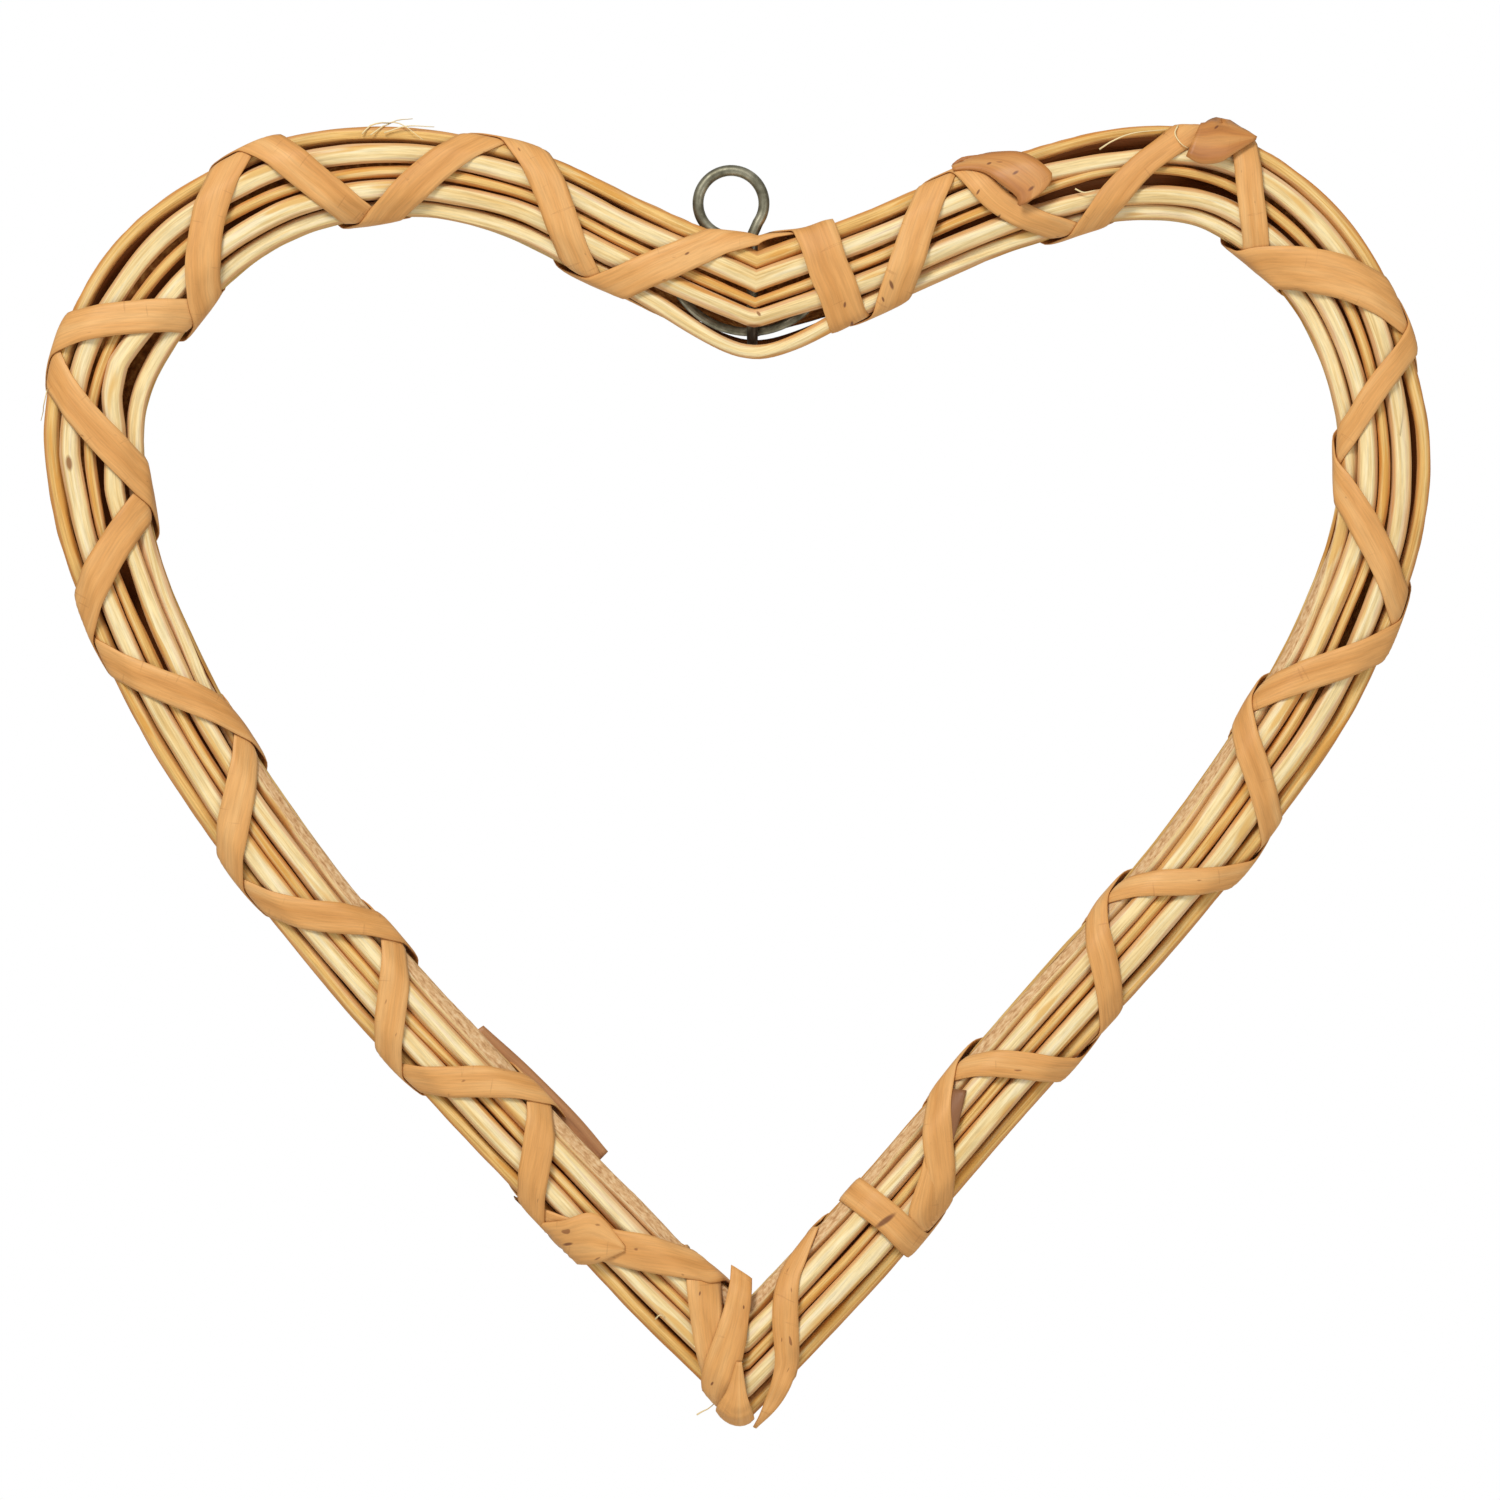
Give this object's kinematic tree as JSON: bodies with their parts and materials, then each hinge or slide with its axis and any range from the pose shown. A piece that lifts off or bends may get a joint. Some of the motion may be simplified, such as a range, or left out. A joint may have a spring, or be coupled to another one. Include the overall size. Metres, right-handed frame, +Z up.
{
  "type": "hanging wicker heart",
  "caption": "Open heart of bundled willow canes wrapped crosswise with thin strips, hung by a wire eye at the notch.",
  "frame": {"origin": "inner top of the wire eye, where it bears on a hook", "axes": "+X across the heart to the viewer's right, +Z up, the heart's front faces -Y"},
  "size_m": [0.252, 0.0203, 0.2403],
  "materials": {
    "cane_front_1": "peeled willow, round rod with an ochre skin",
    "cane_front_2": "peeled willow, split half with a rough pith side",
    "cane_front_3": "peeled willow, round rod with an ochre skin",
    "cane_front_4": "peeled willow, split half with a rough pith side",
    "cane_front_5": "peeled willow, split half with a rough pith side",
    "cane_back_1": "peeled willow, round rod with an ochre skin",
    "cane_back_2": "peeled willow, split half with a rough pith side",
    "cane_back_3": "peeled willow, round rod with an ochre skin",
    "cane_back_4": "peeled willow, split half with a rough pith side",
    "cane_back_5": "peeled willow, round rod with an ochre skin",
    "wrap_strip_a": "thin shaved strip, tan, fine lengthwise grain, satin",
    "wrap_strip_b": "thin shaved strip, tan, fine lengthwise grain, satin",
    "tip_strip": "thin shaved strip, tan, fine lengthwise grain, satin",
    "tip_cap": "thin shaved strip, tan, fine lengthwise grain, satin",
    "tucked_tail": "thin shaved strip, tan, fine lengthwise grain, satin",
    "folded_flap_1": "thin shaved strip, tan, fine lengthwise grain, satin",
    "folded_flap_2": "thin shaved strip, tan, fine lengthwise grain, satin",
    "wire_eye": "dull galvanised wire",
    "wire_bow": "dull galvanised wire"
  },
  "bodies": {
    "root": {"cane_front_1": "cane_front_1", "cane_front_2": "cane_front_2", "cane_front_3": "cane_front_3", "cane_front_4": "cane_front_4", "cane_front_5": "cane_front_5", "cane_back_1": "cane_back_1", "cane_back_2": "cane_back_2", "cane_back_3": "cane_back_3", "cane_back_4": "cane_back_4", "cane_back_5": "cane_back_5", "wrap_strip_a": "wrap_strip_a", "wrap_strip_b": "wrap_strip_b", "tip_strip": "tip_strip", "tip_cap": "tip_cap", "tucked_tail": "tucked_tail", "folded_flap_1": "folded_flap_1", "folded_flap_2": "folded_flap_2", "wire_eye": "wire_eye", "wire_bow": "wire_bow"}
  },
  "joints": []
}
